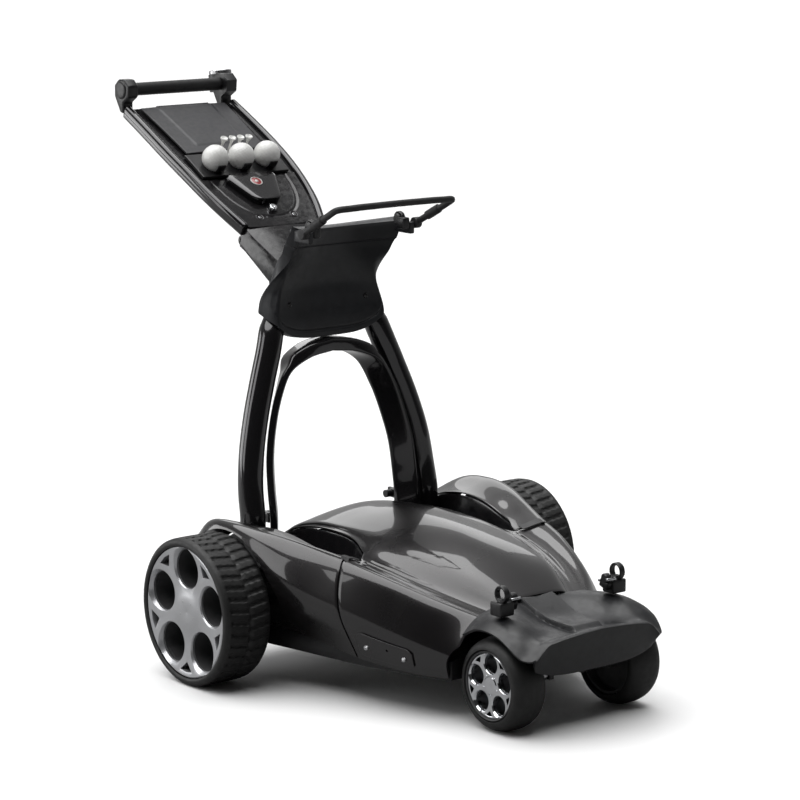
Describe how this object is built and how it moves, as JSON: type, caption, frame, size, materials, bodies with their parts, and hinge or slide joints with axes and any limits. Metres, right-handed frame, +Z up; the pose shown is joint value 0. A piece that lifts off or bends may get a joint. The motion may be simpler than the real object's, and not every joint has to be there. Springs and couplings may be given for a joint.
{
  "type": "electric golf trolley",
  "caption": "Folding electric golf trolley: low body with driven rear wheels, arched frame with bag cradle and bail, folding handle with lidded tray and grip bar.",
  "frame": {"origin": "on the ground, below the middle of the rear axle, which is the middle of the whole trolley's footprint", "axes": "-Y is the driving direction, +X is the trolley's left side, +Z is up"},
  "size_m": [0.676, 1.0876, 0.855],
  "materials": {
    "gloss_black": "metallic black lacquer",
    "satin_black": "satin",
    "matt_black": "fine grained matt",
    "grey_panel": "matt",
    "tyre_rubber": "moulded rubber",
    "soft_rubber": "ribbed grip rubber",
    "silver": "silver lacquer",
    "chrome": "polished",
    "steel": "brushed",
    "white": "gloss"
  },
  "bodies": {
    "chassis": {"chassis_tray": "satin_black", "bonnet": "gloss_black", "fender_left": "gloss_black", "fender_right": "gloss_black", "hinge_well_left": "satin_black", "hinge_well_right": "satin_black", "rear_panel": "satin_black", "side_cover_left": "gloss_black", "side_cover_right": "gloss_black", "motor_left": "satin_black", "motor_right": "satin_black", "gearbox_left": "grey_panel", "gearbox_right": "grey_panel", "battery_pack": "grey_panel", "control_unit": "grey_panel", "bag_rest": "matt_black", "lower_clip_left": "satin_black", "lower_clip_right": "satin_black", "front_axle": "steel", "frame_axle": "steel"},
    "battery_door": {"battery_door": "satin_black"},
    "rear_wheel_left": {"rear_tyre_left": "tyre_rubber", "rear_rim_left": "silver", "rear_hubcap_left": "silver", "wheel_shaft_left": "steel"},
    "motor_pinion_left": {"motor_pinion_left": "steel"},
    "front_wheel_left": {"front_tyre_left": "tyre_rubber", "front_wheel_left": "chrome"},
    "rear_wheel_right": {"rear_tyre_right": "tyre_rubber", "rear_rim_right": "silver", "rear_hubcap_right": "silver", "wheel_shaft_right": "steel"},
    "motor_pinion_right": {"motor_pinion_right": "steel"},
    "front_wheel_right": {"front_tyre_right": "tyre_rubber", "front_wheel_right": "chrome"},
    "frame": {"leg_left": "gloss_black", "leg_right": "gloss_black", "arch": "satin_black", "cradle": "matt_black", "neck_bracket": "gloss_black", "handle_hinge_pin": "steel", "bail_clamp_left": "satin_black", "bail_clamp_right": "satin_black"},
    "fold_lock_left": {"fold_lock_left": "satin_black"},
    "fold_lock_right": {"fold_lock_right": "satin_black"},
    "strap_bail": {"strap_bail": "soft_rubber"},
    "handle": {"handle_board": "satin_black", "side_rail_left": "gloss_black", "side_rail_right": "gloss_black", "grip_bracket_left": "satin_black", "grip_bracket_right": "satin_black", "grip_bar": "soft_rubber", "umbrella_insert": "steel", "ball_tray": "satin_black", "golf_ball_left": "white", "golf_ball_middle": "white", "golf_ball_right": "white", "control_pod": "gloss_black"},
    "storage_lid": {"storage_lid": "grey_panel"},
    "power_button": {"power_button": "chrome"}
  },
  "joints": [
    {"name": "rear_wheel_left_spin", "type": "hinge", "parent": "chassis", "child": "rear_wheel_left", "pos_m": [0.29, 0, 0.111], "axis": [1, 0, 0], "continuous": true},
    {"name": "motor_pinion_left_spin", "type": "hinge", "parent": "chassis", "child": "motor_pinion_left", "pos_m": [0.19, -0.033, 0.111], "axis": [1, 0, 0], "continuous": true},
    {"name": "front_wheel_left_spin", "type": "hinge", "parent": "chassis", "child": "front_wheel_left", "pos_m": [0.11, -0.459, 0.0676], "axis": [1, 0, 0], "continuous": true},
    {"name": "rear_wheel_right_spin", "type": "hinge", "parent": "chassis", "child": "rear_wheel_right", "pos_m": [-0.29, 0, 0.111], "axis": [1, 0, 0], "continuous": true},
    {"name": "motor_pinion_right_spin", "type": "hinge", "parent": "chassis", "child": "motor_pinion_right", "pos_m": [-0.19, -0.033, 0.111], "axis": [1, 0, 0], "continuous": true},
    {"name": "front_wheel_right_spin", "type": "hinge", "parent": "chassis", "child": "front_wheel_right", "pos_m": [-0.11, -0.459, 0.0676], "axis": [1, 0, 0], "continuous": true},
    {"name": "frame_fold", "type": "hinge", "parent": "chassis", "child": "frame", "pos_m": [0, 0.062, 0.178], "axis": [1, 0, 0], "range_deg": [0, 70]},
    {"name": "fold_lock_left_slide", "type": "slide", "parent": "frame", "child": "fold_lock_left", "axis": [-1, 0, 0], "range_m": [0, 0.004], "stiffness_N_per_m": 400, "springref_m": -0.001},
    {"name": "fold_lock_right_slide", "type": "slide", "parent": "frame", "child": "fold_lock_right", "axis": [1, 0, 0], "range_m": [0, 0.004], "stiffness_N_per_m": 400, "springref_m": -0.001},
    {"name": "bail_swing", "type": "hinge", "parent": "frame", "child": "strap_bail", "pos_m": [0, 0.008, 0.653], "axis": [-1, 0, 0], "range_deg": [0, 75]},
    {"name": "handle_fold", "type": "hinge", "parent": "frame", "child": "handle", "pos_m": [0, 0.22, 0.617], "axis": [-1, 0, 0], "range_deg": [0, 115]},
    {"name": "lid_hinge", "type": "hinge", "parent": "handle", "child": "storage_lid", "pos_m": [0, 0.4799, 0.8027], "axis": [-1, 0, 0], "range_deg": [0, 75]},
    {"name": "power_button_press", "type": "slide", "parent": "handle", "child": "power_button", "axis": [0, 0.5771, -0.8166], "range_m": [0, 0.0015], "stiffness_N_per_m": 400, "springref_m": -0.001},
    {"name": "battery_door_hinge", "type": "hinge", "parent": "chassis", "child": "battery_door", "pos_m": [0, 0.1125, 0.1572], "axis": [1, 0, 0], "range_deg": [0, 80]}
  ],
  "couplings": [
    {"joint": "motor_pinion_left_spin", "follows": "rear_wheel_left_spin", "ratio": -2},
    {"joint": "motor_pinion_right_spin", "follows": "rear_wheel_right_spin", "ratio": -2}
  ]
}
